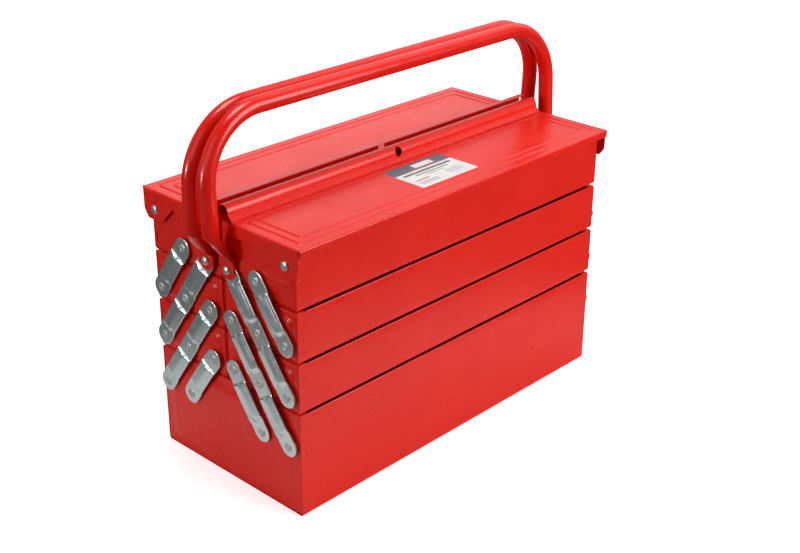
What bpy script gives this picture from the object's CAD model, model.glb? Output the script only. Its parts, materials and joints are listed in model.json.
# %% [markdown]
# # Cantilever tool box
# A deep bottom bin carries six folded trays on flat links, so that pulling the two tube
# handles apart spreads the trays like stairs. Nearly everything on it is thin sheet steel:
# cut flat, pressed, folded and painted. So nearly every piece here is one surface, laid out
# as a grid of points and given its thickness at the end, just as the sheet was.

# %% The frame
import math

import bmesh
import bpy
import numpy as np
from mathutils import Matrix, Vector
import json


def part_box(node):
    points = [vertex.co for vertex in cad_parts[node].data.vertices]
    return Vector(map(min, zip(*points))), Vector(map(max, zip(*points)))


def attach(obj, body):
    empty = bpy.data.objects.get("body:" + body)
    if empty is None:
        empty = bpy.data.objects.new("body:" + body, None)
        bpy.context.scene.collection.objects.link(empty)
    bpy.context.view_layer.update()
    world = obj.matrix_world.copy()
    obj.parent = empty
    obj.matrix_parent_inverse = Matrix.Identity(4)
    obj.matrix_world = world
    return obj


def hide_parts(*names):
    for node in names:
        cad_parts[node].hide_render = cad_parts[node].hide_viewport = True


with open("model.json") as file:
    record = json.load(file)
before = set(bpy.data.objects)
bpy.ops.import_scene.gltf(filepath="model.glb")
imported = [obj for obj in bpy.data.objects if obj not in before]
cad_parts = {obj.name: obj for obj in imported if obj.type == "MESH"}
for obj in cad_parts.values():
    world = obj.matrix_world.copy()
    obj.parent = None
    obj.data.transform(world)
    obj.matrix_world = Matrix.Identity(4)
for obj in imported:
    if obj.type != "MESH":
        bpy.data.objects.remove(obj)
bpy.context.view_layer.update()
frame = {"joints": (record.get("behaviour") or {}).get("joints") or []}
scene = bpy.context.scene
MM = 0.001
SIDES = {"front": -1, "rear": 1}
ENDS = {"left": -1, "right": 1}
LEVELS = ("lower", "middle", "upper")

# %% [markdown]
# ## Places
# The places of all pieces come from the packed model: a box for each node and a point for
# each joint. What a box can't tell, such as the gauge of the sheet, is named in millimetres
# where it is first needed, and each mesh is scaled to metres once, when it is made.

# %% Pivots
def node_box(node):
    """The lowest and highest corner of a node, in millimetres."""
    return [np.array(corner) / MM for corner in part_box(node)]


pins = {joint["name"]: np.array(joint["pos_m"]) / MM for joint in frame["joints"]}
PIVOT_OUT = abs(pins["front_open"][1])
PIVOT_MID = abs(pins["front_base_links_turn"][1])
PIVOT_IN = 2 * PIVOT_MID - PIVOT_OUT
PIVOT_Z = {level: pins[f"front_{level}_tray_turn"][2] for level in LEVELS}
PIVOT_Z["bottom"] = pins["front_open"][2]
HINGE_Y = abs(pins["front_lid_open"][1])
HINGE_Z = pins["front_lid_open"][2]
print("pivots at y", PIVOT_IN, PIVOT_MID, PIVOT_OUT, "and z", PIVOT_Z)

# %% [markdown]
# ## Finishes
# The box is dipped in glossy red enamel. Such paint isn't a flat colour: it dries with a fine
# orange peel, thins a little here and there, and shows the slight waves of the sheet below it
# in its reflections. A picture of paint could be laid over the box, but it would need
# unwrapping and would blur up close. So each of these is a noise of its own size, in the
# colour, in the roughness or in the bump. A noise is laid out on object coordinates, and its
# scale is in features per metre, because the object is built in metres.
#
# A node tree could be drawn by hand in the editor. Here a small class builds it, and the same
# class serves for materials, for the room and for Geometry Nodes.

# %% Building node trees
class Tree:
    """A node tree, of a material or of Geometry Nodes, that is built up node by node."""

    def __init__(self, tree):
        self.tree = tree

    def add(self, kind, inputs=None, **settings):
        """A new node with its settings and inputs."""
        node = self.tree.nodes.new(kind)
        for key, value in settings.items():
            setattr(node, key, value)
        self.fill(node, inputs or {})
        return node

    def fill(self, node, inputs):
        """Gives each input its value, or a link from another node's output."""
        for key, value in inputs.items():
            if isinstance(value, bpy.types.NodeSocket):
                self.tree.links.new(value, node.inputs[key])
            else:
                node.inputs[key].default_value = value

    def math(self, operation, *values):
        """The result of one Math node."""
        return self.add("ShaderNodeMath", dict(enumerate(values)), operation=operation).outputs[0]


def new_material(name):
    """A material, its tree and its main shader."""
    material = bpy.data.materials.new(name)
    material.use_nodes = True
    return material, Tree(material.node_tree), material.node_tree.nodes["Principled BSDF"]


print("a tree can:", [name for name in vars(Tree) if not name.startswith("_")])

# %% Noise, colour and bump
# the sockets of a Mix node that hold colours
MIX_FIRST, MIX_SECOND, MIX_RESULT = 6, 7, 2
# most of a noise lies between these two
NOISE_LOW, NOISE_HIGH = 0.3, 0.7


def add_noise(tree, scale, detail=2.0, stretch=None):
    """Noise on object coordinates, as a value from 0 to 1."""
    place = tree.add("ShaderNodeTexCoord").outputs["Object"]
    if stretch:
        place = tree.add("ShaderNodeMapping", {"Vector": place, "Scale": stretch}).outputs["Vector"]
    noise = tree.add("ShaderNodeTexNoise", {"Vector": place, "Scale": scale, "Detail": detail})
    return noise.outputs["Fac"]


def spread(tree, value, low, high, start=NOISE_LOW, end=NOISE_HIGH):
    """Goes softly from low to high as the value goes from start to end."""
    ends = {"Value": value, "From Min": start, "From Max": end, "To Min": low, "To Max": high}
    ranged = tree.add("ShaderNodeMapRange", ends, interpolation_type="SMOOTHSTEP")
    return ranged.outputs["Result"]


def blend_colors(tree, value, *colors):
    """Goes from the first colour to the second as the value goes from 0 to 1."""
    first, second = [(*color, 1) if isinstance(color, tuple) else color for color in colors]
    given = {0: value, MIX_FIRST: first, MIX_SECOND: second}
    return tree.add("ShaderNodeMix", given, data_type="RGBA").outputs[MIX_RESULT]


def add_bump(tree, height, depth, below=None):
    """Bump of the given depth in metres, on top of another bump if there is one."""
    bump = tree.add("ShaderNodeBump", {"Height": height, "Strength": 1.0, "Distance": depth})
    if below:
        tree.fill(bump, {"Normal": below})
    return bump.outputs["Normal"]


print("the middle of a noise:", NOISE_LOW, "to", NOISE_HIGH)

# %% [markdown]
# ### Red enamel
# The tubes of the handles are a little darker and glossier than the sheet. That could be two
# separate trees, but both paints have the same build, so one function makes them from their
# colours and their roughness. The waves of the sheet are wide and shallow, the orange peel is
# fine, and the second bump is laid on the first.

# %% Red enamel
COAT_SCALE, WAVE_SCALE, PEEL_SCALE, GLOSS_SCALE = 14, 9, 700, 30
WAVE_DEPTH = 0.00025
GRAIN_DEPTH = 0.000008


def enamel(name, color, thin, roughness):
    """Glossy paint on steel, with sheet waves, orange peel and a slightly uneven coat."""
    material, tree, shader = new_material(name)
    coat = spread(tree, add_noise(tree, COAT_SCALE), 0, 1)
    gloss = add_noise(tree, GLOSS_SCALE, 1)
    waves = add_bump(tree, add_noise(tree, WAVE_SCALE, 0), WAVE_DEPTH)
    tree.fill(shader, {
        "Base Color": blend_colors(tree, coat, color, thin),
        "Roughness": spread(tree, gloss, roughness - 0.03, roughness + 0.03),
        "Specular IOR Level": 0.5,
        "Normal": add_bump(tree, add_noise(tree, PEEL_SCALE, 0), GRAIN_DEPTH, waves),
    })
    return material


RED = enamel("red_enamel", (0.80, 0.012, 0.003), (0.76, 0.010, 0.002), 0.30)
HANDLE_RED = enamel("handle_enamel", (0.76, 0.010, 0.003), (0.71, 0.008, 0.002), 0.24)
for material in (RED, HANDLE_RED):
    print("paint:", material.name, "nodes:", len(material.node_tree.nodes))

# %% [markdown]
# ### Zinc and rivet steel
# The links are zinc plated: bright, slightly blue and a little cloudy, with a fine grain. The
# rivets are a greyer steel, and so are the sheared edges of the links, where the plating is
# thin. A metal has no colour under its shine: Metallic is 1, and the base colour tints what
# the metal reflects. A plain grey would look like plastic, so the clouds go from one tint to
# another and the grain is bump. On the links it is stretched along their faces.

# %% Zinc and rivet steel
CLOUD_SCALE, DULL_SCALE, GRAIN_SCALE = 60, 90, 1500


def plated(name, color, dark, roughness, stretch=None):
    """Bare or zinc-plated steel: a metal with cloudy plating and a fine grain."""
    material, tree, shader = new_material(name)
    clouds = spread(tree, add_noise(tree, CLOUD_SCALE, 1), 0, 1)
    dull = add_noise(tree, DULL_SCALE, 1)
    tree.fill(shader, {
        "Base Color": blend_colors(tree, clouds, color, dark),
        "Metallic": 1.0,
        "Roughness": spread(tree, dull, roughness - 0.02, roughness + 0.02),
        "Normal": add_bump(tree, add_noise(tree, GRAIN_SCALE, 2, stretch), GRAIN_DEPTH),
    })
    return material


ZINC = plated("zinc_plate", (0.86, 0.97, 0.96), (0.82, 0.93, 0.93), 0.27, (1, 0.2, 0.2))
CUT_ZINC = plated("cut_zinc", (0.66, 0.70, 0.68), (0.60, 0.64, 0.62), 0.4)
RIVET = plated("bright_rivet_steel", (0.66, 0.66, 0.60), (0.56, 0.56, 0.52), 0.38)
DULL_RIVET = plated("dull_rivet_steel", (0.58, 0.60, 0.56), (0.50, 0.52, 0.48), 0.52)
for material in (ZINC, CUT_ZINC, RIVET, DULL_RIVET):
    print("metal:", material.name, "nodes:", len(material.node_tree.nodes))

# %% [markdown]
# ## Sheet as a grid
# A folded sheet is drawn as rows and columns of points: one direction follows the section
# through the folds, the other runs along the piece. Cells that the cutting die took out are
# left open. A box with a Bevel modifier would be quicker to make, but it would have no hems,
# no open corners and no inside.

# %% A sheet from a grid
def new_piece(name, points, faces, material):
    """An object from points in millimetres."""
    mesh = bpy.data.meshes.new(name)
    mesh.from_pydata([tuple(point) for point in np.asarray(points) * MM], [], faces)
    mesh.materials.append(material)
    piece = bpy.data.objects.new(name, mesh)
    scene.collection.objects.link(piece)
    return piece


def sheet(name, grid, material, keep=None, flip=False):
    """A surface from an array of rows of points; keep tells which cells exist."""
    rows, columns = grid.shape[:2]
    if keep is None:
        keep = np.ones((rows - 1, columns - 1), bool)
    faces = []
    for i, j in zip(*np.nonzero(keep)):
        first = i * columns + j
        face = [first, first + 1, first + columns + 1, first + columns]
        faces.append([int(corner) for corner in (face[::-1] if flip else face)])
    piece = new_piece(name, grid.reshape(-1, 3), faces, material)
    work = bmesh.new()
    work.from_mesh(piece.data)
    loose = [vertex for vertex in work.verts if not vertex.link_faces]
    bmesh.ops.delete(work, geom=loose, context="VERTS")
    work.to_mesh(piece.data)
    work.free()
    return piece


print("pieces are drawn in millimetres and kept in metres:", MM)

# %% [markdown]
# ### Gauge and shading
# The steel is 0.7 mm thick. A second, inner grid could be drawn, but the Solidify modifier
# does it: it adds the gauge behind the drawn face and closes the rim. The result is kept as
# plain mesh, and only its real edges are marked sharp. A bin's panels are drawn a hair thinner
# than they are, so that an end panel and the wrapper round it don't touch. Then each piece is
# told which CAD node it stands for, which body it rides on and which finish it takes.

# %% Gauge, shading and fitting
SHEET = 0.7
GAUGE = SHEET - 0.04
SHARP_ANGLE = 38


def add_gauge(piece, thickness, cut=None):
    """Thickness behind the drawn face; its rim may take a second material, for a cut edge."""
    solid = piece.modifiers.new("gauge", "SOLIDIFY")
    solid.thickness = thickness * MM
    solid.offset = -1
    if cut:
        piece.data.materials.append(cut)
        solid.material_offset_rim = 1


def settle(piece, sharp=SHARP_ANGLE):
    """Keeps the result of the modifiers as plain mesh, smooth but for its sharp edges."""
    graph = bpy.context.evaluated_depsgraph_get()
    mesh = bpy.data.meshes.new_from_object(piece.evaluated_get(graph))
    piece.modifiers.clear()
    drawn = piece.data
    piece.data = mesh
    bpy.data.meshes.remove(drawn)
    mesh.shade_smooth()
    mesh.set_sharp_from_angle(angle=math.radians(sharp))
    mesh.name = piece.name


def fit(piece, node, body):
    """The piece stands for its node, rides on the body and takes the slot's finish."""
    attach(piece, body)
    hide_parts(node)
    return len(piece.data.polygons)


print("sheet:", SHEET, "mm, drawn at", round(GAUGE, 2), "mm in a bin")

# %% [markdown]
# ### Arcs and stations
# A grid shows a fold, a dent or a step only if it has enough lines there, and too many lines
# elsewhere are wasted. Subdividing everything would give a heavy mesh. So a fold is an arc of
# a few points, and the other lines are stations: places along a line, close together where
# something happens.

# %% Arcs and stations
def arc(centre, radius, start, end, steps):
    """Points on an arc, in degrees from +Y towards +Z, without its first point."""
    angles = np.radians(np.linspace(start, end, steps + 1)[1:])
    return [(centre[0] + radius * math.cos(a), centre[1] + radius * math.sin(a)) for a in angles]


def stations(*runs):
    """Places along a line, from single ones and runs of (start, end, step), without doubles."""
    runs = [run if isinstance(run, tuple) else (run, run, 1) for run in runs]
    found = np.concatenate([np.arange(a, b + step / 2, step) for a, b, step in runs])
    found = np.sort(np.round(found, 3))
    return found[np.concatenate([[True], np.diff(found) > 0.05])]


def both_ways(half):
    """The same stations on both sides of the middle."""
    return np.unique(np.concatenate([-half, half]))


print("stations on both sides:", both_ways(stations((0, 2, 0.5), 5)))

# %% [markdown]
# ## Wrappers
# The floor and both long walls of a bin are one sheet, folded up twice, with its rims hemmed:
# turned inwards and pressed flat, so that no cut edge is left to catch a hand. It could be
# extruded from a curve, but the walls need rows of their own. So the section is drawn once,
# from hem to hem, as a list of points.

# %% The section of a wrapper
FOLD_R = 2.5
FOLD_STEPS = 7
HEM = 6
HEM_STEPS = 6
WELD_R = 2.6
WELD_ROWS = 9


def wrapper_section(width, floor, rims):
    """Points from the first hem, down, across and up to the second hem, but for the walls."""
    half = width / 2
    first, second = rims
    down = [(2 * SHEET - half, first - HEM), (2 * SHEET - half, first - SHEET)]
    down += arc((SHEET - half, first - SHEET), SHEET, 0, 180, HEM_STEPS)
    bottom = arc((FOLD_R - half, floor + FOLD_R), FOLD_R, 180, 270, FOLD_STEPS)
    bottom += [(half - FOLD_R, floor)]
    bottom += arc((half - FOLD_R, floor + FOLD_R), FOLD_R, 270, 360, FOLD_STEPS)
    hem = [(half, second - SHEET)]
    hem += arc((half - SHEET, second - SHEET), SHEET, 0, 180, HEM_STEPS)
    return down, bottom, hem + [(half - 2 * SHEET, second - HEM)]


def wall_rows(y, start, end, welds):
    """Rows up or down a wall, closer together at the welds."""
    heights = {start, end}
    for weld in welds:
        heights.update(weld + offset for offset in np.linspace(-WELD_R, WELD_R, WELD_ROWS))
    inside = [z for z in heights if min(start, end) <= z <= max(start, end)]
    return [(y, z) for z in sorted(inside, reverse=bool(end < start))]


print("points in each run:", [len(run) for run in wrapper_section(100, 0, (50, 50))])

# %% [markdown]
# ### Sweep and dents
# The section is repeated at every column along the box. The end panels are spot welded inside
# the wrapper, and each weld leaves a small dent in the wall. A bump could show the dents, but
# not from close by, so rows and columns gather at each weld and the points themselves are
# pushed in. The hems stop short of the ends, where the flanges of the end panels begin.

# %% Sweeping a wrapper
END_X = node_box("bottom_wrapper")[1][0]
FLANGE = 10
HEM_END = END_X - FLANGE - 1
WELD_X = END_X - 5.5
WELD_DEPTH = 0.45
print("hems end at", round(HEM_END, 2), "and welds are at", round(WELD_X, 2))


def build_wrapper(node, body, rims, weld_z):
    """A folded wrapper in the place of its node."""
    low, high = node_box(node)
    width = high[1] - low[1]
    middle = (high[1] + low[1]) / 2
    down, bottom, hem = wrapper_section(width, low[2], rims)
    rows = down + wall_rows(-width / 2, rims[0] - SHEET, low[2] + FOLD_R, weld_z)[1:]
    rows += bottom
    rows += wall_rows(width / 2, low[2] + FOLD_R, rims[1] - SHEET, weld_z)[1:-1]
    rows = np.array(rows + hem)
    near_weld = (WELD_X - WELD_R, WELD_X + WELD_R, 0.65)
    columns = both_ways(stations((0, HEM_END, HEM_END / 8), near_weld, END_X))
    grid = np.empty((len(rows), len(columns), 3))
    grid[..., 0] = columns
    grid[..., 1] = rows[:, None, 0]
    grid[..., 2] = rows[:, None, 1]
    wall = np.abs(np.abs(grid[..., 1]) - width / 2) < 0.01
    for z in weld_z:
        away = np.hypot(np.abs(grid[..., 0]) - WELD_X, grid[..., 2] - z) / WELD_R
        dent = WELD_DEPTH * np.clip(1 - away ** 2, 0, 1) ** 2
        grid[..., 1] -= np.sign(grid[..., 1]) * dent * wall
    grid[..., 1] += middle
    in_hem = np.zeros(len(rows) - 1, bool)
    in_hem[:len(down) - 1] = True
    in_hem[1 - len(hem):] = True
    past = np.minimum(np.abs(columns[:-1]), np.abs(columns[1:])) >= HEM_END - 0.1
    piece = sheet(node + "_shell", grid, RED, ~(in_hem[:, None] & past[None, :]), flip=True)
    add_gauge(piece, GAUGE)
    settle(piece)
    return fit(piece, node, body)


# %% All the wrappers
WELD_PITCH = 24
FIRST_WELD = 11
LAST_WELD = 13


def welds(floor, rim):
    """Heights of the welds in one corner of a bin."""
    count = max(3, int((rim - floor) / WELD_PITCH))
    return np.linspace(floor + FIRST_WELD, rim - LAST_WELD, count)


RIM = {level: node_box(f"{level}_end_front_left")[1][2] for level in LEVELS}
RIM["bottom"] = node_box("bottom_end_left")[1][2]
both_rims = (RIM["bottom"], RIM["bottom"])
count = build_wrapper("bottom_wrapper", "bottom_bin", both_rims, welds(0, RIM["bottom"]))
print("bottom wrapper:", count, "faces")
for side in SIDES:
    for level in LEVELS:
        node = f"{level}_tray_{side}"
        low, high = node_box(node)
        rims = (RIM[level], high[2]) if side == "front" else (high[2], RIM[level])
        count = build_wrapper(node, f"{side}_{level}_tray", rims, welds(low[2], RIM[level]))
        print(node, count, "faces")

# %% [markdown]
# ## End panels
# Each end of a bin is a shallow pan: a panel whose four edges are folded in as flanges, with a
# field pressed outwards to make it stiff and to give the links a flat place to run on. It
# could be cut out of a box with Boolean modifiers, but from the flange's edge to the field it
# is a stack of rounded rectangles. So it is lofted: each loop has the same number of points,
# a skin joins one loop to the next, and the folds stay smooth. The handles use the same skin.

# %% A loop and a loft
CORNER_STEPS = 7


def rounded_loop(y0, z0, y1, z1, low_r, high_r):
    """A rounded rectangle, anticlockwise as seen from +X."""
    corners = [(y0, z0, low_r, 1, 1, 180), (y1, z0, low_r, -1, 1, 270),
               (y1, z1, high_r, -1, -1, 0), (y0, z1, high_r, 1, -1, 90)]
    loop = []
    for y, z, radius, in_y, in_z, start in corners:
        for a in np.radians(np.linspace(start, start + 90, CORNER_STEPS)):
            loop.append((y + radius * (in_y + math.cos(a)), z + radius * (in_z + math.sin(a))))
    return np.array(loop)


def smooth_step(x):
    """0 below 0, 1 above 1, and a soft slope between."""
    x = np.clip(x, 0, 1)
    return x * x * (3 - 2 * x)


def loft(name, grid, material, flip, closed):
    """A skin over rings of points, with a cap on the last ring and, if closed, on the first."""
    rows, ring = grid.shape[:2]
    faces = []
    for i in range(rows - 1):
        for j in range(ring):
            k = (j + 1) % ring
            faces.append([i * ring + j, i * ring + k, (i + 1) * ring + k, (i + 1) * ring + j])
    if closed:
        faces.append(list(range(ring))[::-1])
    faces.append([(rows - 1) * ring + j for j in range(ring)])
    if flip:
        faces = [face[::-1] for face in faces]
    return new_piece(name, grid.reshape(-1, 3), faces, material)


print("points in a loop:", len(rounded_loop(0, 0, 40, 20, 5, 5)))

# %% [markdown]
# ### The pan
# The loft starts at the free edge of the flange, turns the fold on a quarter circle, and ends
# in the soft slope of the field. The bottom bin and the upper trays have a wide, soft slope,
# and the other trays a narrow one, just as their dies have. The field of an upper tray ends
# lower, to leave room for the lid's lugs.

# %% Lofting an end panel
FIELD_X = node_box("bottom_end_right")[1][0]
PAN_FOLD = 1.9
RIM_R = 0.6
TIGHT_R = 0.5
FIELD_INSET = 8
FIELD_R = 5
SHARP_REACH = 2
print("a field stands out by", round(FIELD_X - END_X, 2))


def build_end(node, body, end, field_top, slope):
    """A pan-shaped end panel with its pressed field."""
    (_, y0, z0), (_, y1, z1) = node_box(node)
    loops = []

    def add_loop(x, box, grow, low_r, high_r):
        """A loop at x, round a box that is grown by so much on each side."""
        loop = rounded_loop(box[0] - grow, box[1] - grow, box[2] + grow, box[3] + grow, low_r, high_r)
        loops.append(np.column_stack([np.full(len(loop), x), loop]))

    pan, pan_r = (y0, z0, y1, z1), FOLD_R - SHEET
    add_loop(END_X - FLANGE, pan, 0, pan_r, RIM_R)
    for a in np.radians(np.linspace(0, 90, 6)):
        inset = PAN_FOLD * (1 - math.cos(a))
        x = END_X - PAN_FOLD * (1 - math.sin(a))
        add_loop(x, pan, -inset, max(pan_r - inset, TIGHT_R), TIGHT_R)
    soften = max(0, slope / 2 - SHARP_REACH)
    inset, corner = FIELD_INSET - SHEET + soften, FIELD_R + soften
    field = (y0 + inset, z0 + inset, y1 - inset, field_top - soften)
    for step in np.linspace(0, 1, 8):
        grow = slope / 2 * (1 - 2 * step)
        x = END_X + (FIELD_X - END_X) * smooth_step(step)
        add_loop(x, field, grow, corner + grow, corner + grow)
    piece = loft(node + "_panel", np.array(loops) * (end, 1, 1), RED, end < 0, False)
    add_gauge(piece, GAUGE)
    settle(piece)
    return fit(piece, node, body)


# %% All the end panels
LUG_DOWN = 11
FIELD_SLOPE = 3.4
SOFT_FIELD = 12
FIELD_TOP = {level: RIM[level] - FIELD_INSET for level in RIM}
FIELD_TOP["upper"] = HINGE_Z - LUG_DOWN - FIELD_INSET / 2
for end_name, end in ENDS.items():
    build_end(f"bottom_end_{end_name}", "bottom_bin", end, FIELD_TOP["bottom"], SOFT_FIELD)
    for side in SIDES:
        for level in LEVELS:
            slope = SOFT_FIELD if level == "upper" else FIELD_SLOPE
            count = build_end(f"{level}_end_{side}_{end_name}", f"{side}_{level}_tray", end,
                              FIELD_TOP[level], slope)
print("faces in one end panel:", count)

# %% [markdown]
# ## Links
# The links are zinc-plated strip with round ends. A press raises the middle of each one, so
# that it clears the rivets it passes over and doesn't bend, and leaves a sharp step under each
# upper rivet, a softer one above each lower rivet, a small notch in the sharp step and a thin
# crease along one side. It could be bent with a lattice, but all of it is one height over the
# flat shape of the strip, so it is written as one, from soft steps and bell curves. Across
# the strip is u, and along it, from its lowest pivot, is v.

# %% Height of a link over its flat shape
LINK_X = node_box("main_link_front_right")[0][0]
LINK_W = 19
LINK_T = 1.6
LINK_RAISE = node_box("main_link_front_right")[1][0] - LINK_X - LINK_T
PAD_RUN = 12
PITCH = PIVOT_Z["lower"] - PIVOT_Z["bottom"]
STEP = PIVOT_OUT - PIVOT_MID
SPAN = math.hypot(PITCH, STEP)
SLOPE = 2.1
SOFT_SLOPE = 6.0
NOTCH, NOTCH_U, NOTCH_HALF = 3.6, 1.0, 5
FOOT_PUSH, FOOT_U, FOOT_HALF = 2.6, -5.5, 2.2
CREASE, CREASE_U, CREASE_HALF = 0.16, 6.0, 0.6
RIDGE_FALL, RIDGE_U = 0.13, -0.5
WAIST = 0.45
EDGE_R, EDGE_DROP = 0.5, 0.11


def link_height(u, v):
    """How far the strip stands out at u across it and v along it from its lowest pivot."""
    along = v % SPAN
    left = SPAN - along
    notch = NOTCH * 0.5 * (1 + np.cos(np.pi * np.clip((u - NOTCH_U) / NOTCH_HALF, -1, 1)))
    foot = PAD_RUN - 2 + FOOT_PUSH * np.exp(-((u - FOOT_U) / FOOT_HALF) ** 2)
    rise = smooth_step((along - foot) / SOFT_SLOPE)
    fall = 1 - (1 - np.clip((left - PAD_RUN - 1) / (SLOPE + notch), 0, 1)) ** 2
    crease_run = smooth_step((along - PAD_RUN - 8) / 4) * smooth_step((left - PAD_RUN - 4) / 3)
    crease = CREASE * np.exp(-((u - CREASE_U) / CREASE_HALF) ** 2) * crease_run
    ridge = RIDGE_FALL * (np.sqrt((u - RIDGE_U) ** 2 + 0.5) - 0.7)
    return (LINK_RAISE - crease - ridge) * rise * fall * (v > 0)


def link_half_width(v, length):
    """Half the width of the strip: round at both ends and slightly drawn in where raised."""
    past = np.maximum(np.maximum(-v, v - length), 0)
    half = np.sqrt(np.maximum((LINK_W / 2) ** 2 - past ** 2, 0.05))
    along = v % SPAN
    middle = smooth_step((along - PAD_RUN) / 5) * smooth_step((SPAN - along - PAD_RUN) / 5)
    return half - WAIST * middle * ((v > 0) & (v < length))


def edge_drop(u, v, length):
    """How far the sheared edge of the strip is rolled over."""
    past = np.maximum(np.maximum(-v, v - length), 0)
    side = link_half_width(v, length) - np.abs(u)
    away = np.where(past > 0, LINK_W / 2 - np.hypot(u, past), side)
    return EDGE_DROP * np.clip(1 - away / EDGE_R, 0, 1) ** 2


print("a link spans", round(SPAN, 2), "and is raised by", round(LINK_RAISE, 2))

# %% [markdown]
# ### Rows and columns of a link
# The sharp step is about two millimetres wide, so the rows are a third of a millimetre apart
# there and two millimetres on the flat. An even grid as fine as that would be several times
# as heavy. Round the ends the rows follow the turn of the circle, and a few more columns
# follow the crease and the rolled edge.

# %% Rows and columns of a link
def link_stations(pivots):
    """Rows along a link, closer together on the steps and round the ends."""
    length = (pivots - 1) * SPAN
    turn = np.radians(np.linspace(4, 90, 12))
    rows = [-LINK_W / 2 * np.cos(turn), length + LINK_W / 2 * np.cos(turn)]
    for i in range(pivots - 1):
        start, end = i * SPAN, i * SPAN + SPAN
        rise, fall = start + PAD_RUN, end - PAD_RUN
        runs = ((start, rise - 2, 2), (rise - 2, rise + 6, 0.7), (rise + 6, fall - 8, 1.6),
                (fall - 8, fall + 1, 0.3), (fall + 1, end, 2))
        rows += [np.arange(*run) for run in runs]
    found = np.sort(np.concatenate(rows))
    return found[np.concatenate([[True], np.diff(found) > 0.15])], length


near_crease = (CREASE_U + np.linspace(-1.4, 1.4, 9)) / (LINK_W / 2)
near_edge = np.array([0.925, 0.95, 0.97, 0.985])
ACROSS = np.concatenate([np.linspace(-1, 1, 45), near_crease, near_edge, -near_edge])
ACROSS = np.unique(np.round(ACROSS, 3))
print("rows in a short link:", len(link_stations(2)[0]), "columns:", len(ACROSS))

# %% [markdown]
# ### Links in their places
# At rest all links lean towards the middle of the box, at one angle, because they are sides of
# parallelograms. A link could be made once and turned into place, but a finished piece has to
# keep its place in its mesh, so the lean is worked into the points. The sheared edge of the
# strip is duller than the plating on its faces, so the rim that Solidify adds takes a material
# of its own.

# %% A link in its place
LEAN = math.atan2(STEP, PITCH)
STEP_ANGLE = 70
print("links lean by", round(math.degrees(LEAN), 1), "degrees")


def build_link(node, body, end, sign, foot, pivots):
    """A link standing on its lowest pivot and leaning towards the middle of the box."""
    rows, length = link_stations(pivots)
    v = np.repeat(rows[:, None], len(ACROSS), 1)
    u = ACROSS[None, :] * link_half_width(v, length)
    height = link_height(u, v) + LINK_T - edge_drop(u, v, length)
    grid = np.empty((*v.shape, 3))
    grid[..., 0] = end * (LINK_X + height)
    grid[..., 1] = sign * (foot[0] - v * math.sin(LEAN) + u * math.cos(LEAN))
    grid[..., 2] = foot[1] + v * math.cos(LEAN) + u * math.sin(LEAN)
    piece = sheet(node + "_strip", grid, ZINC, flip=end * sign > 0)
    add_gauge(piece, LINK_T, CUT_ZINC)
    settle(piece, STEP_ANGLE)
    return fit(piece, node, body)


KINDS = (
    # name, body, lowest pivot, pivots
    ("main_link", "main_links", (PIVOT_OUT, PIVOT_Z["bottom"]), 3),
    ("handle_link", "handle", (PIVOT_OUT, PIVOT_Z["lower"]), 3),
    ("base_link", "base_links", (PIVOT_MID, PIVOT_Z["bottom"]), 2),
    ("top_link", "top_links", (PIVOT_OUT, PIVOT_Z["middle"]), 2),
)
for side, sign in SIDES.items():
    for end_name, end in ENDS.items():
        for kind, body, foot, pivots in KINDS:
            count = build_link(f"{kind}_{side}_{end_name}", f"{side}_{body}", end, sign, foot, pivots)
print("links:", len(KINDS) * len(SIDES) * len(ENDS), "faces in a short one:", count)

# %% [markdown]
# ## Rivets
# Forty-four rivets hold the box together, and they differ only in a few sizes. Each could be
# modelled and copied by hand, but one Geometry Nodes tree makes them all: a squashed sphere
# for the head with a small dimple from the rivet tool, a shank, an optional collar, and a
# second head formed inside the bin. The tree takes bare points as places; an attribute tells
# which end of the box each one is on.

# %% The shapes of a rivet
HEAD_SEGMENTS, HEAD_RINGS, ROD_SIDES = 28, 18, 24
RIVET_SIZES = {"Head Radius": 4.6, "Head Height": 2.2, "Squareness": 0.22, "Dimple": 0.6,
               "Shank Radius": 2.2, "Grip": 4.0, "Tail Radius": 3.0, "Tail Height": 1.2,
               "Collar Radius": 2.2, "Collar Start": 0.5, "Collar Length": 1.0}
DISH_SHARE = 2.4


def head_form(tree, radius, height, squareness, dimple):
    """A unit sphere, squashed into a button that stands on its flat side."""
    ball = tree.add("GeometryNodeMeshUVSphere",
                    {"Segments": HEAD_SEGMENTS, "Rings": HEAD_RINGS, "Radius": 1.0})
    place = tree.add("ShaderNodeSeparateXYZ", {0: tree.add("GeometryNodeInputPosition").outputs[0]})
    x, y, z = place.outputs
    above = tree.math("POWER", tree.math("MAXIMUM", z, 0.0), squareness)
    square = tree.math("ADD", tree.math("MULTIPLY", x, x), tree.math("MULTIPLY", y, y))
    hollow = tree.math("SUBTRACT", 1.0, tree.math("MULTIPLY", square, DISH_SHARE))
    hollow = tree.math("MAXIMUM", hollow, 0.0)
    hollow = tree.math("MULTIPLY", tree.math("MULTIPLY", hollow, hollow), dimple)
    upper = tree.math("GREATER_THAN", z, 0.0)
    hollow = tree.math("MULTIPLY", hollow, upper)
    top = tree.math("SUBTRACT", tree.math("MULTIPLY", above, height), hollow)
    moved = tree.add("ShaderNodeCombineXYZ", {0: tree.math("MULTIPLY", x, radius),
                                              1: tree.math("MULTIPLY", y, radius), 2: top})
    return tree.add("GeometryNodeSetPosition", {"Geometry": ball.outputs["Mesh"],
                                                "Position": moved.outputs[0]}).outputs[0]


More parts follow.
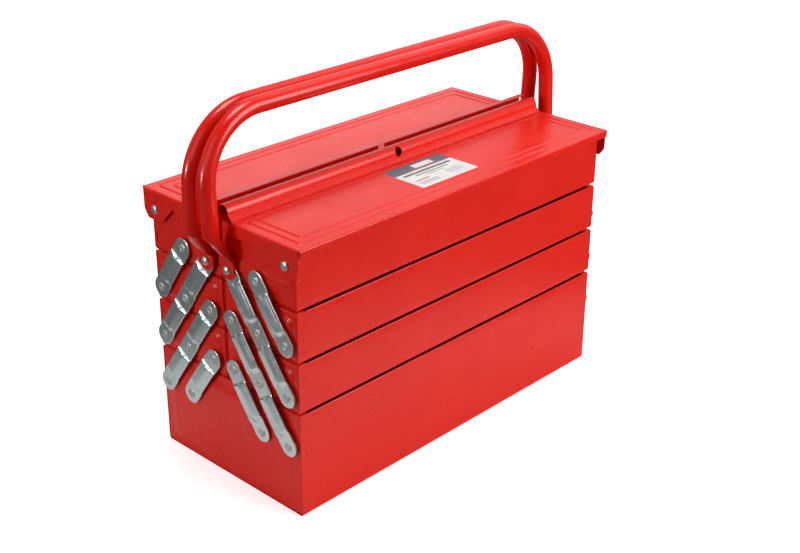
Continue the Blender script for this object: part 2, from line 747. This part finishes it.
def rod_form(tree, radius, length, start):
    """A cylinder that hangs below the head, from start down over its length."""
    rod = tree.add("GeometryNodeMeshCylinder",
                   {"Vertices": ROD_SIDES, "Radius": radius, "Depth": length})
    middle = tree.math("MULTIPLY", tree.math("ADD", start, tree.math("MULTIPLY", length, 0.5)), -1.0)
    place = tree.add("ShaderNodeCombineXYZ", {2: middle})
    return tree.add("GeometryNodeTransform", {"Geometry": rod.outputs["Mesh"],
                                              "Translation": place.outputs[0]}).outputs[0]


print("sizes of a rivet:", RIVET_SIZES)

# %% The rivet tree
def rivet_tree():
    """Places in, rivets out."""
    group = bpy.data.node_groups.new("rivets", "GeometryNodeTree")
    tree = Tree(group)
    face = group.interface
    face.new_socket("Places", in_out="INPUT", socket_type="NodeSocketGeometry")
    for name in RIVET_SIZES:
        face.new_socket(name, in_out="INPUT", socket_type="NodeSocketFloat")
    face.new_socket("Finish", in_out="INPUT", socket_type="NodeSocketMaterial")
    face.new_socket("Rivets", in_out="OUTPUT", socket_type="NodeSocketGeometry")
    given = tree.add("NodeGroupInput").outputs
    squareness = given["Squareness"]
    head = head_form(tree, given["Head Radius"], given["Head Height"], squareness, given["Dimple"])
    shank = rod_form(tree, given["Shank Radius"], given["Grip"], 0.0)
    collar = rod_form(tree, given["Collar Radius"], given["Collar Length"], given["Collar Start"])
    tail = head_form(tree, given["Tail Radius"], given["Tail Height"], squareness, 0.0)
    down = tree.add("ShaderNodeCombineXYZ", {2: tree.math("MULTIPLY", given["Grip"], -1.0)})
    tail = tree.add("GeometryNodeTransform", {"Geometry": tail, "Translation": down.outputs[0],
                                              "Rotation": (math.pi, 0, 0)}).outputs[0]
    joined = tree.add("GeometryNodeJoinGeometry")
    for form in (head, shank, collar, tail):
        tree.fill(joined, {0: form})
    end = tree.add("GeometryNodeInputNamedAttribute", {"Name": "end"}, data_type="FLOAT").outputs[0]
    turn = tree.add("ShaderNodeCombineXYZ", {1: tree.math("MULTIPLY", end, math.pi / 2)})
    laid = tree.add("GeometryNodeInstanceOnPoints", {
        "Points": given["Places"], "Instance": joined.outputs[0], "Rotation": turn.outputs[0]})
    real = tree.add("GeometryNodeRealizeInstances", {"Geometry": laid.outputs[0]})
    done = tree.add("GeometryNodeSetMaterial", {"Geometry": real.outputs[0], "Material": given["Finish"]})
    tree.add("NodeGroupOutput", {0: done.outputs[0]})
    return group


RIVETS = rivet_tree()
print("rivet tree:", len(RIVETS.nodes), "nodes")

# %% [markdown]
# ### From places to rivets
# The tree becomes a modifier on a mesh that is only points. A modifier's inputs are named by
# identifiers, and they are filled in before the object is first evaluated. Instances would be
# lighter, but each body needs rivets of its own, so what comes out is one plain mesh for each
# group.

# %% One group of rivets
RATIOS = ("Squareness",)
RIVET_EDGE = 45


def build_rivets(node, body, under_x, places, finish, **sizes):
    """Rivets of both ends, whose heads sit at under_x."""
    spots = [(end * under_x, y, z) for end in ENDS.values() for y, z in places]
    piece = new_piece(node + "_set", spots, [], finish)
    mark = piece.data.attributes.new("end", "FLOAT", "POINT")
    mark.data.foreach_set("value", [float(end) for end in ENDS.values() for _ in places])
    maker = piece.modifiers.new("rivets", "NODES")
    maker.node_group = RIVETS
    wanted = dict(RIVET_SIZES)
    wanted.update({key.replace("_", " ").title(): value for key, value in sizes.items()})
    for socket in RIVETS.interface.items_tree:
        if socket.in_out == "INPUT" and socket.name in wanted:
            scale = 1 if socket.name in RATIOS else MM
            maker[socket.identifier] = wanted[socket.name] * scale
        elif socket.name == "Finish":
            maker[socket.identifier] = finish
    settle(piece, RIVET_EDGE)
    return fit(piece, node, body)


print("sizes without a unit:", RATIOS)

# %% [markdown]
# ### Rivets in their rows
# The rivets on the links have low, flat heads and are dull. The domed ones on the handles and
# the ones on the hinges are brighter, and the hinge rivets have a collar that keeps the lid's
# lug off the end panel. A little play is left under each head, as a pivot needs.

# %% Rivets in their rows
PLAY = 0.3
PAD_X = LINK_X + LINK_T
HEAD_X = PAD_X + PLAY
FIELD_BACK = FIELD_X - SHEET
GRIP = HEAD_X - FIELD_BACK
FLAT_T = 3
DOME_X = PAD_X + FLAT_T + PLAY
LID_X = node_box("lid_front")[1][0]
HINGE_HEAD = LID_X + PLAY
LUG_CLEAR = 0.4
DOME = {"head_height": 2.8, "squareness": 0.8, "dimple": 0.0}
HINGE = {"squareness": 0.6, "dimple": 0.3, "collar_radius": 5.0,
         "collar_start": HINGE_HEAD - LID_X + 2 * PLAY + LUG_CLEAR,
         "collar_length": LID_X - END_X - SHEET - PLAY}
feet = [(sign * y, PIVOT_Z["bottom"]) for sign in SIDES.values() for y in (PIVOT_MID, PIVOT_OUT)]
build_rivets("bottom_rivets", "bottom_bin", HEAD_X, feet, DULL_RIVET, grip=GRIP)
for side, sign in SIDES.items():
    for level in LEVELS:
        row = (PIVOT_MID,) if level == "upper" else (PIVOT_IN, PIVOT_MID, PIVOT_OUT)
        build_rivets(f"{level}_rivets_{side}", f"{side}_{level}_tray", HEAD_X,
                     [(sign * y, PIVOT_Z[level]) for y in row], DULL_RIVET, grip=GRIP)
    tray = f"{side}_upper_tray"
    build_rivets(f"handle_rivets_{side}", tray, DOME_X, [(sign * PIVOT_IN, PIVOT_Z["upper"])], RIVET,
                 grip=DOME_X - FIELD_BACK, **DOME)
    count = build_rivets(f"hinge_rivets_{side}", tray, HINGE_HEAD, [(sign * HINGE_Y, HINGE_Z)], RIVET,
                         grip=HINGE_HEAD - END_X + SHEET, **HINGE)
print("faces in a pair of hinge rivets:", count)

# %% [markdown]
# ## Handles
# Each handle is one steel tube, bent twice and squashed flat at both ends, where it is
# riveted over the handle links. A bevelled curve would give the tube, but not its flat ends. So
# a ring of points is carried along it: on the flat it is a thin rectangle, on the tube a
# circle, and on the slope between them something of both, which leaves the two facets and
# the crease that a press leaves.

# %% Sections of the handle
HANDLE_HIGH = node_box("handle_front")[1]
TUBE_R = 8
BEND_R = 64
HANDLE_TOP = HANDLE_HIGH[2] - TUBE_R
LEG_X = HANDLE_HIGH[0] - TUBE_R
BAR_Y = abs(HANDLE_HIGH[1]) + TUBE_R
FLAT_W = 20
FLAT_DOWN = 9.5
FLAT_CUT = 6
PRESS = {
    # z above the rivet, and the share of the way from the flat to the tube
    "front": ((11, 0.0), (22, 0.50), (30, 0.72), (36, 1.0)),
    "rear": ((8.5, 0.0), (16, 0.45), (28, 0.76), (32.5, 1.0)),
}
FLAT_SKEW = {"front": 0.35, "rear": 0.2}
TUBE_SKEW = {"front": 0.4, "rear": 0.1}
PRESS_FADE = 14
PRESS_WIDER = 0.2
RING = 48
ANGLES = np.linspace(0, 2 * math.pi, RING, endpoint=False)
TUBE = (TUBE_R * np.cos(ANGLES), TUBE_R * np.sin(ANGLES))


def flat_ring(half_width):
    """A thin rectangle; its corners fall on the diagonals of the ring."""
    stretch = math.sqrt(2)
    out = np.clip(stretch * np.cos(ANGLES), -1, 1) * FLAT_T / 2
    across = np.clip(stretch * np.sin(ANGLES), -1, 1) * half_width
    return out, across


def press_places(side):
    """Heights above the rivet, shares of the tube and shares of the way up the slope."""
    knots = np.array(PRESS[side])
    low, high = knots[0, 0], knots[-1, 0]
    near = np.concatenate([knots[1:, 0] + offset for offset in (-0.8, -0.3, 0.3, 0.8)])
    z = np.unique(np.concatenate([np.linspace(low, high, 10), near]))
    z = z[z <= high]
    shares = [np.interp([place - 0.5, place, place + 0.5], knots[:, 0], knots[:, 1]).mean() for place in z]
    return z, shares, (z - low) / (high - low)


print("rings on the slope:", {side: len(press_places(side)[0]) for side in SIDES})

# %% [markdown]
# ### One leg
# A leg is drawn upright over its rivet: the cut corners of the flat foot, the pressed slope,
# the straight tube, the bend and the first half of the bar. The press came down a little
# askew, so the creases lean, and the rings lean with them and then straighten out.

# %% Rings of one leg
def leg_rings(height, side, sign):
    """Rings (x, y, z above the rivet) of one leg, from its foot to the middle of the bar."""
    rings = []

    def add_ring(x, y, z):
        """One ring of points, at one height or at a height for each point."""
        rings.append(np.column_stack([x, y, np.broadcast_to(z, RING)]))

    flat_x = PAD_X + FLAT_T / 2
    for z in (-FLAT_DOWN, FLAT_CUT - FLAT_DOWN, -1.0, 5.0):
        cut = FLAT_CUT * min(max((FLAT_CUT - FLAT_DOWN - z) / FLAT_CUT, 0), 1)
        out, across = flat_ring(FLAT_W / 2 - cut)
        add_ring(flat_x + out, across, z)
    flat = flat_ring(FLAT_W / 2)
    for place, share, along in zip(*press_places(side)):
        out = (flat[0] + flat_x) * (1 - share) + (TUBE[0] + LEG_X) * share
        wider = 1 + PRESS_WIDER * math.sin(math.pi * along)
        across = (flat[1] * (1 - along) + TUBE[1] * along) * wider
        skew = FLAT_SKEW[side] * (1 - along) + TUBE_SKEW[side] * along
        add_ring(out, across, place + sign * skew * across)
    out, across = TUBE
    for rise in np.linspace(0, 1, 6)[1:]:
        skew = sign * TUBE_SKEW[side] * (1 - rise)
        add_ring(LEG_X + out, across, place + rise * PRESS_FADE + skew * across)
    add_ring(LEG_X + out, across, height - BEND_R)
    reach = BEND_R + out
    for a in np.radians(np.linspace(0, 90, 31)[1:]):
        add_ring(LEG_X - BEND_R + reach * math.cos(a), across, height - BEND_R + reach * math.sin(a))
    add_ring(np.zeros(RING), across, height + out)
    return rings


print("rings in a leg:", len(leg_rings(HANDLE_TOP - PIVOT_Z["upper"], "front", -1)))

# %% [markdown]
# ### Both handles
# The other half of a handle is the mirror of its first leg, read backwards, so that the rings
# run on from foot to foot and no seam is left in the middle of the bar. The whole tube then
# leans towards the other handle. A small Bevel takes the sharpness off the ends of the flats.

# %% The handles
WORN_EDGE = 0.6
BEVEL_ANGLE = 30
HANDLE_EDGE = 40


def build_handle(side, sign):
    """A handle from foot to foot, leaning towards the other one."""
    rise = HANDLE_TOP - PIVOT_Z["upper"]
    lean = math.atan2(PIVOT_IN - BAR_Y, rise)
    leg = leg_rings(rise / math.cos(lean), side, sign)
    mirror = [ring * (-1, 1, 1) for ring in leg[-2::-1]]
    grid = np.array(leg + mirror)
    y, z = grid[..., 1].copy(), grid[..., 2].copy()
    grid[..., 1] = sign * (PIVOT_IN + y * math.cos(lean) - z * math.sin(lean))
    grid[..., 2] = PIVOT_Z["upper"] + z * math.cos(lean) + y * math.sin(lean)
    piece = loft(f"handle_{side}_tube", grid, HANDLE_RED, sign < 0, True)
    bevel = piece.modifiers.new("worn_edge", "BEVEL")
    bevel.width = WORN_EDGE * MM
    bevel.segments = 3
    bevel.limit_method = "ANGLE"
    bevel.angle_limit = math.radians(BEVEL_ANGLE)
    settle(piece, HANDLE_EDGE)
    return fit(piece, f"handle_{side}", f"{side}_handle")


for side, sign in SIDES.items():
    print("handle", side, build_handle(side, sign), "faces")

# %% [markdown]
# ## Lids
# A lid is one sheet as well. Its long outer edge and its two ends are folded down, with an
# open notch at the corner where they would meet, and each end flange grows into the lug that
# hangs on the hinge rivet. Two shallow lines are pressed round the top to keep it flat. They
# could be bump, but they catch the light along their whole length, so they are real. The
# depth of the flange and of the lines is worked out from the place on the lid.

# %% Outline of a lid
LID_Y = node_box("lid_front")[0][1]
LID_TOP = node_box("label")[0][2]
LID_FOLD = 1.6
LID_FLANGE = 7.5
END_FLANGE = 12.5
LUG_R = 30.8
LUG_FOOT = LID_TOP - (HINGE_Z - LUG_DOWN)
LUG_IN = LUG_DOWN - 2 - HINGE_Y
LINE_INSETS = (11.5, 21)
LINE_DEPTH = 0.8
LINE_HALF = 1.7
LINE_CORNER = 3.0


def flange_depth(y):
    """How far the end flange hangs down at y, on the front lid."""
    arc_z = LUG_DOWN + HINGE_Z - np.sqrt(np.clip(LUG_R ** 2 - (y - LID_Y - LUG_R) ** 2, 0, None))
    depth = np.minimum(LID_TOP - arc_z, LUG_FOOT)
    past = y > LID_Y + LUG_R
    depth = np.where(past, LUG_FOOT, depth)
    return np.where(y > LUG_IN, np.maximum(LUG_FOOT - (y - LUG_IN), END_FLANGE), depth)


def frame_line(x, y, inset, inner):
    """How deep the pressed line of one frame is at a point of the lid."""
    half = np.array([LID_X - inset, (inner - LID_Y - inset) / 2])
    middle = (inner + LID_Y + inset) / 2
    dx = np.abs(x) - half[0] + LINE_CORNER
    dy = np.abs(y - middle) - half[1] + LINE_CORNER
    outside = np.hypot(np.maximum(dx, 0), np.maximum(dy, 0))
    away = outside + np.minimum(np.maximum(dx, dy), 0) - LINE_CORNER
    return LINE_DEPTH * 0.5 * (1 + np.cos(np.pi * np.clip(away / LINE_HALF, -1, 1)))


print("the lug hangs down", round(LUG_FOOT, 2), "and the lid is", round(2 * LID_X, 2), "long")

# %% [markdown]
# ### Rows and columns of a lid
# Carving a lid out of a block would leave no sheet, so it is a grid again. The columns run
# from the foot of one end flange, over its fold and the top, to the foot of the other. The
# rows run from the foot of the long flange to the inner edge. Both are close together where
# the lines are pressed. Each row also says which part of the lid it belongs to.

# %% Rows and columns of a lid
RIDGE_SHORT = 2
FLANGE_KIND, FOLD_KIND, TOP_KIND, INNER_KIND = range(4)


def lid_columns(extra):
    """Columns (x, drop share, fold angle) from one end flange to the other."""
    # the middle, the ends of the pressed lines, and the last few before the fold
    top = stations((0, 190, 19), (194, 212, 0.55), 214,
                   LID_X - 4, LID_X - RIDGE_SHORT, LID_X - LID_FOLD)
    top = np.unique(np.concatenate([both_ways(top), extra]))
    fold = np.radians(np.linspace(0, 90, 7)[1:])
    half = [(LID_X - LID_FOLD + LID_FOLD * math.sin(a), 0.0, a) for a in fold]
    half += [(LID_X, share, math.pi / 2) for share in np.linspace(0, 1, 9)[1:]]
    left = [(-x, share, a) for x, share, a in half[::-1]]
    return np.array(left + [(x, 0.0, 0.0) for x in top] + half)


def lid_rows(inner_y, inner_path):
    """Rows (y, z, kind), from the long flange over its fold and the top to the inner edge."""
    rows = [(LID_Y, LID_TOP - LID_FLANGE + step, FLANGE_KIND) for step in (0, 2, 4)]
    for a in np.radians(np.linspace(90, 0, 7)):
        y, z = LID_Y + LID_FOLD * (1 - math.sin(a)), LID_TOP - LID_FOLD * (1 - math.cos(a))
        rows.append((y, z, FOLD_KIND))
    # the edge, the outer lines, two runs for the lug, the middle and the inner lines
    top = stations((LID_Y + LID_FOLD + 0.7, LID_Y + 9.8, 0.7), (LID_Y + 9.8, LID_Y + 24, 0.55),
                   (LID_Y + 24, LUG_IN, 2.2), (LUG_IN, LUG_IN + 17.4, 2.9), (-60, -36, 4),
                   (-34, inner_y, 0.55))
    rows += [(y, LID_TOP, TOP_KIND) for y in top if y <= inner_y]
    rows += [(y, z, INNER_KIND) for y, z in inner_path]
    return np.array(rows)


print("columns of a lid:", len(lid_columns([])))

# %% [markdown]
# ### Bending the grid
# A column on the end flange drops by its share of the flange's depth, which differs from row
# to row: that makes the lug. Cells are left out at the corners, where the real sheet has its
# notch, and at the ends of the ridge, which stay open.

# %% A lid from its rows and columns
CORNER_GAP = 3.2
# a cell counts as folded down past this angle
HALF_FOLDED = 0.6
print("a corner is open over", CORNER_GAP)


def build_lid(side, sign, inner_y, inner_path, line_end, extra=(), cut=None):
    """A lid without its padlock hole; cut tells which more cells to take away."""
    rows, columns = lid_rows(inner_y, inner_path), lid_columns(extra)
    x, share, turn = (columns[None, :, i] for i in range(3))
    y, z, kind = (rows[:, None, i] for i in range(3))
    x = np.broadcast_to(x, (len(rows), len(columns)))
    fold_drop = LID_FOLD * (1 - np.cos(turn))
    depth = fold_drop + share * (flange_depth(y) - LID_FOLD)
    line = np.maximum.reduce([frame_line(x, y, inset, line_end) for inset in LINE_INSETS])
    grid = np.empty((len(rows), len(columns), 3))
    grid[..., 0] = x
    grid[..., 1] = -sign * y
    grid[..., 2] = z - depth - line * (kind == TOP_KIND) * (turn == 0)
    cell_x = (columns[:-1, 0] + columns[1:, 0])[None, :] / 2
    cell_y = (rows[:-1, 0] + rows[1:, 0])[:, None] / 2
    cell_turn = np.maximum(columns[:-1, 2], columns[1:, 2])[None, :]
    on_flange = (np.minimum(rows[:-1, 2], rows[1:, 2]) == FLANGE_KIND)[:, None]
    inner = (np.maximum(rows[:-1, 2], rows[1:, 2]) == INNER_KIND)[:, None]
    keep = ~((cell_turn > HALF_FOLDED) & (cell_y < LID_Y + CORNER_GAP))
    keep &= ~((on_flange | inner) & (np.abs(cell_x) > LID_X - RIDGE_SHORT))
    if cut:
        keep &= ~cut(cell_x, cell_y, inner)
    piece = sheet(f"lid_{side}_sheet", grid, RED, keep, flip=sign > 0)
    add_gauge(piece, SHEET)
    return piece


# %% [markdown]
# ### Ridge and lip
# The inner edge of the front lid is rolled up into a ridge. It rises in a leaning riser with a
# narrow step on top, and then turns over in one wide roll, open at both ends. The lip of the
# rear lid stands up behind it, folds over, and has one small tab that keeps the lids in line.
# Both are paths of points that go on from the flat of the lid. A tube laid on the lid would
# be simpler, but it would be a separate part, and its foot would show.

# %% Inner edges
RIDGE_Y, RIDGE_TOP = node_box("lid_front")[1][1:]
RIDGE_R = (RIDGE_TOP - LID_TOP + SHEET) / 2
RIDGE_MID = (RIDGE_Y - RIDGE_R, RIDGE_TOP - RIDGE_R)
RISER_H = 4.0
RISER_LEAN = 0.9
STEP_W = 1.5
ROLL_START = math.asin((RIDGE_R - SHEET - RISER_H) / RIDGE_R)
ROLL_END = -120
ROLL_STEPS = 42
RIDGE_FOOT = RIDGE_MID[0] - RIDGE_R * math.cos(ROLL_START) - STEP_W - RISER_H * RISER_LEAN
LIP_TOP = node_box("lid_rear")[1][2]
LIP_Y = -9.8
LIP_EDGE = -2.8
LIP_FOLD = 0.9
TAB = (-12, -6)
TAB_EDGE = -0.3


def ridge_path():
    """From the flat of the lid up the riser, over its step and round the roll."""
    foot = RIDGE_FOOT
    edge = foot + RISER_H * RISER_LEAN
    path = [(foot - 1.0, LID_TOP), (foot - 0.2, LID_TOP + 0.12), (foot + 0.3, LID_TOP + 0.4),
            (edge - 0.3, LID_TOP + RISER_H - 0.35), (edge, LID_TOP + RISER_H - 0.05),
            (edge + 0.3, LID_TOP + RISER_H)]
    start = 180 + math.degrees(ROLL_START) - 1
    return path + arc(RIDGE_MID, RIDGE_R, start, ROLL_END, ROLL_STEPS)


def lip_path():
    """From the flat of the rear lid up its riser and over, drawn in front."""
    path = [(LIP_Y - 0.6, LID_TOP), (LIP_Y, LID_TOP + 0.6), (LIP_Y, LIP_TOP - LIP_FOLD)]
    path += arc((LIP_Y + LIP_FOLD, LIP_TOP - LIP_FOLD), LIP_FOLD, 180, 90, 4)
    return path + [(LIP_EDGE, LIP_TOP), (TAB_EDGE, LIP_TOP)]


def tab_cut(x, y, inner):
    """Past the lip's edge only the locating tab is left."""
    return inner & (y > LIP_EDGE) & ((x < TAB[0]) | (x > TAB[1]))


print("points up the ridge:", len(ridge_path()), "and up the lip:", len(lip_path()))

# %% [markdown]
# ### Padlock hole
# A padlock goes through the ridge and the lip behind it. The round edge of its hole follows no
# row or column of the grid, so here a Boolean is the right tool: a round bar is taken out of
# each lid, after the sheet has its gauge.

# %% The padlock hole and the lids
HOLE_R = 4.4
HOLE_Z = RIDGE_MID[1] + 1.6
HOLE_REACH = 18
TOP_SHORT = 1.2
LINE_END = {"front": RIDGE_FOOT - 8, "rear": -20}


def drill_padlock_hole(piece):
    """Takes a round bar out of the ridge or the lip."""
    bpy.ops.mesh.primitive_cylinder_add(
        vertices=48, radius=HOLE_R * MM, depth=2 * HOLE_REACH * MM,
        location=(0, 0, HOLE_Z * MM), rotation=(math.pi / 2, 0, 0))
    bar = bpy.context.object
    drill = piece.modifiers.new("padlock_hole", "BOOLEAN")
    drill.operation = "DIFFERENCE"
    drill.object = bar
    drill.solver = "EXACT"
    settle(piece)
    bpy.data.objects.remove(bar)


lids = {
    "front": build_lid("front", -1, RIDGE_FOOT - TOP_SHORT, ridge_path(), LINE_END["front"]),
    "rear": build_lid("rear", 1, LIP_Y - TOP_SHORT, lip_path(), LINE_END["rear"], TAB, tab_cut),
}
for side, lid in lids.items():
    drill_padlock_hole(lid)
    print("lid", side, fit(lid, f"lid_{side}", f"{side}_lid"), "faces")

# %% [markdown]
# ## Label
# A plastic film is stuck on the front lid. It has a dark header with a pale block, and a pale
# body with plain bars and blocks where others print their words. It is too thin to model more
# than its edge, and a picture would blur, so the pattern is in its material: each mark is a
# rectangle, given in shares of the film, and a point of the film lies in it or not.

# %% Marks on the film
LABEL = node_box("label")
MARKS = (
    # left and right end, front and back edge, colour
    (0.00, 1.00, 0.69, 1.00, (0.11, 0.13, 0.18)),
    (0.26, 0.84, 0.69, 0.80, (0.22, 0.12, 0.15)),
    (0.42, 0.76, 0.76, 0.92, (0.82, 0.82, 0.80)),
    (0.08, 0.92, 0.56, 0.62, (0.10, 0.10, 0.11)),
    (0.22, 0.80, 0.47, 0.505, (0.20, 0.20, 0.21)),
    (0.38, 0.68, 0.40, 0.425, (0.32, 0.32, 0.33)),
    (0.10, 0.33, 0.28, 0.32, (0.62, 0.10, 0.16)),
    (0.08, 0.40, 0.10, 0.22, (0.52, 0.54, 0.54)),
    (0.62, 0.86, 0.16, 0.34, (0.56, 0.58, 0.58)),
)
FILM_SCALE = 90
FILM_ROUGHNESS = 0.42
print("the film is", [round(side, 1) for side in LABEL[1] - LABEL[0]], "with", len(MARKS), "marks")


def between(tree, value, low, high):
    """1 where a value lies between two others."""
    above = tree.math("GREATER_THAN", value, low)
    return tree.math("MULTIPLY", above, tree.math("LESS_THAN", value, high))


def film():
    """Pale film with its marks."""
    material, tree, shader = new_material("label_film")
    place = tree.add("ShaderNodeTexCoord").outputs["Object"]
    x, y, _ = tree.add("ShaderNodeSeparateXYZ", {0: place}).outputs
    low = LABEL[0] * MM
    size = LABEL[1] * MM - low
    worn = spread(tree, add_noise(tree, FILM_SCALE, 1), 0, 1)
    color = blend_colors(tree, worn, (0.78, 0.80, 0.77), (0.70, 0.72, 0.70))
    for left, right, front, back, tint in MARKS:
        across = between(tree, x, low[0] + left * size[0], low[0] + right * size[0])
        along = between(tree, y, low[1] + front * size[1], low[1] + back * size[1])
        color = blend_colors(tree, tree.math("MULTIPLY", across, along), color, tint)
    tree.fill(shader, {"Base Color": color, "Roughness": FILM_ROUGHNESS})
    return material


# %% The film
FILM_CORNER = 1.5


def build_label():
    """The film with round corners."""
    low, high = LABEL
    loop = rounded_loop(low[0], low[1], high[0], high[1], FILM_CORNER, FILM_CORNER)
    points = [(x, y, high[2]) for x, y in loop]
    piece = new_piece("label_film", points, [list(range(len(points)))], film())
    add_gauge(piece, high[2] - low[2])
    settle(piece)
    return fit(piece, "label", "front_lid")


print("label:", build_label(), "faces")

# %% [markdown]
# ## Camera
# The camera stands to the left of the front and looks down on the lids, with a longish lens,
# so that the far end isn't drawn out. It could be aimed by a constraint, but a camera is just
# a place, three directions and a lens, so these are written down. Blender's camera looks along
# its own -Z, with Y up, and the three directions become the columns of its matrix.

# %% Camera
CAMERA_AT = Vector((-0.907876, -0.873263, 0.733720))
CAMERA_RIGHT = Vector((0.68805, -0.725636, 0.006318))
CAMERA_DOWN = Vector((-0.304581, -0.296685, -0.905101))
CAMERA_LENS = 60.18
SENSOR = 36
camera_data = bpy.data.cameras.new("camera")
camera_data.lens = CAMERA_LENS
camera_data.sensor_width = SENSOR
camera = bpy.data.objects.new("camera", camera_data)
forward = CAMERA_DOWN.cross(-CAMERA_RIGHT).normalized()
turn = Matrix((CAMERA_RIGHT.normalized(), -CAMERA_DOWN.normalized(), -forward)).transposed()
camera.matrix_world = Matrix.Translation(CAMERA_AT) @ turn.to_4x4()
scene.collection.objects.link(camera)
scene.camera = camera
print("the camera looks along", [round(c, 4) for c in forward])

# %% [markdown]
# ## Room
# A product studio is white behind the object and darker behind the camera, so that glossy
# faces get tones of their own. A brighter world would wash them out. So the Light Path node
# splits the room in two: the camera sees plain white, and everything else gets a weak light
# that falls off towards the side on which the camera stands.

# %% The room
ROOM_LIGHT = 0.28
ROOM_DARK = 0.08
ROOM_TURN = (0.1, 0.85)


def white_room():
    """White for the camera, and for light a room that is darker behind the camera."""
    world = bpy.data.worlds.new("room")
    world.use_nodes = True
    tree = Tree(world.node_tree)
    direction = tree.add("ShaderNodeTexCoord").outputs["Generated"]
    facing = tree.add("ShaderNodeVectorMath", {0: direction, 1: CAMERA_AT.normalized()},
                      operation="DOT_PRODUCT")
    shade = spread(tree, facing.outputs["Value"], ROOM_LIGHT, ROOM_DARK, *ROOM_TURN)
    for_camera = tree.add("ShaderNodeLightPath").outputs["Is Camera Ray"]
    light = tree.add("ShaderNodeMix", {0: for_camera, 2: shade, 3: 1.0}, data_type="FLOAT")
    background = world.node_tree.nodes["Background"]
    tree.fill(background, {"Color": (1, 1, 1, 1), "Strength": light.outputs[0]})
    scene.world = world


white_room()
print("the room gives", ROOM_DARK, "to", ROOM_LIGHT, "of the camera's white")

# %% [markdown]
# ## Floor
# The box stands on plain white paper and keeps its shadow there. White paper would throw a lot
# of light up on the box, so away from the box the floor is dark for light. For the camera it
# is pale, and a glow that only the camera sees lifts it to white, fully so only outside the
# shadow. The floor lies a hair below the box, so that the two never share a plane.

# %% The floor
FLOOR_NEAR = 0.30
FLOOR_FAR = 0.50
FLOOR_DOWN = 0.0002
FLOOR_SIZE = 8
MATT_NEAR, MATT_FAR, MATT_SEEN = 0.6, 0.12, 0.8
GLOW_NEAR, GLOW_FAR = 0.6, 1.0


def gray(tone):
    """The same share of red, green and blue."""
    return (tone, tone, tone)


def white_floor():
    """A plain floor; its own light for the camera lifts it to white outside the shadow."""
    bpy.ops.mesh.primitive_plane_add(size=FLOOR_SIZE, location=(0, 0, -FLOOR_DOWN))
    floor = bpy.context.object
    floor.name = "floor"
    material, tree, shader = new_material("floor_white")
    material.node_tree.nodes.remove(shader)
    for_camera = tree.add("ShaderNodeLightPath").outputs["Is Camera Ray"]
    place = tree.add("ShaderNodeTexCoord").outputs["Object"]
    away = tree.add("ShaderNodeVectorMath", {0: place}, operation="LENGTH").outputs["Value"]
    fade = spread(tree, away, 0, 1, FLOOR_NEAR, FLOOR_FAR)
    for_light = blend_colors(tree, fade, gray(MATT_NEAR), gray(MATT_FAR))
    paper = blend_colors(tree, for_camera, for_light, gray(MATT_SEEN))
    matt = tree.add("ShaderNodeBsdfDiffuse", {"Color": paper})
    lift = blend_colors(tree, fade, gray(GLOW_NEAR), gray(GLOW_FAR))
    glow = tree.add("ShaderNodeEmission", {"Color": lift, "Strength": for_camera})
    both = tree.add("ShaderNodeAddShader", {0: matt.outputs[0], 1: glow.outputs[0]})
    tree.fill(material.node_tree.nodes["Material Output"], {"Surface": both.outputs[0]})
    floor.data.materials.append(material)


white_floor()
print("the floor fades to white from", FLOOR_NEAR, "to", FLOOR_FAR, "metres")

# %% [markdown]
# ## Lamps
# A soft lamp overhead and a large one towards the front light the lids and the long side. A
# small lamp low on the left puts the bright glints on the links, and three wide, weak lamps,
# as white cards would, lift the left end, the far end and the handles. Area lamps are used
# throughout, because their shape is what glossy enamel shows back. The Standard view keeps
# colours as they are written.

# %% The lamps
LAMPS = {
    # place, target, size and power
    "overhead": ((-0.1, 0.1, 1.5), (0, 0, 0.15), 0.6, 9.2),
    "front": ((0.6, -1.5, 0.8), (0, 0, 0.25), 1.1, 24.5),
    "left": ((-1.6, 0.45, 0.36), (-0.2, 0, 0.2), 0.2, 6.8),
    "left_card": ((-1.35, -0.15, 1.0), (-0.2, 0, 0.2), 1.0, 3.0),
    "rear_card": ((0.55, 0.65, 0.36), (0.55, 0, 0.36), 0.8, 1.5),
    "right_card": ((0.75, 0.1, 0.95), (0, 0, 0.25), 0.9, 2.0),
}


def add_lamp(name, place, target, size, power):
    """A square soft lamp that faces its target."""
    lamp = bpy.data.lights.new(name, "AREA")
    lamp.size = size
    lamp.energy = power
    holder = bpy.data.objects.new(name, lamp)
    holder.location = place
    holder.rotation_euler = (Vector(target) - Vector(place)).to_track_quat("-Z", "Y").to_euler()
    scene.collection.objects.link(holder)


for name, lamp in LAMPS.items():
    add_lamp(name, *lamp)
scene.view_settings.view_transform = "Standard"
total = sum(lamp[3] for lamp in LAMPS.values())
print("lamps:", len(LAMPS), "with", round(total, 1), "watts in all")

# %% [markdown]
# ## Sizes and finish
# The last cell measures the dressed box beside the CAD model, keeps both boxes in a file and
# hands over the table that says which piece rides on which body.

# %% Sizes and finish
import json
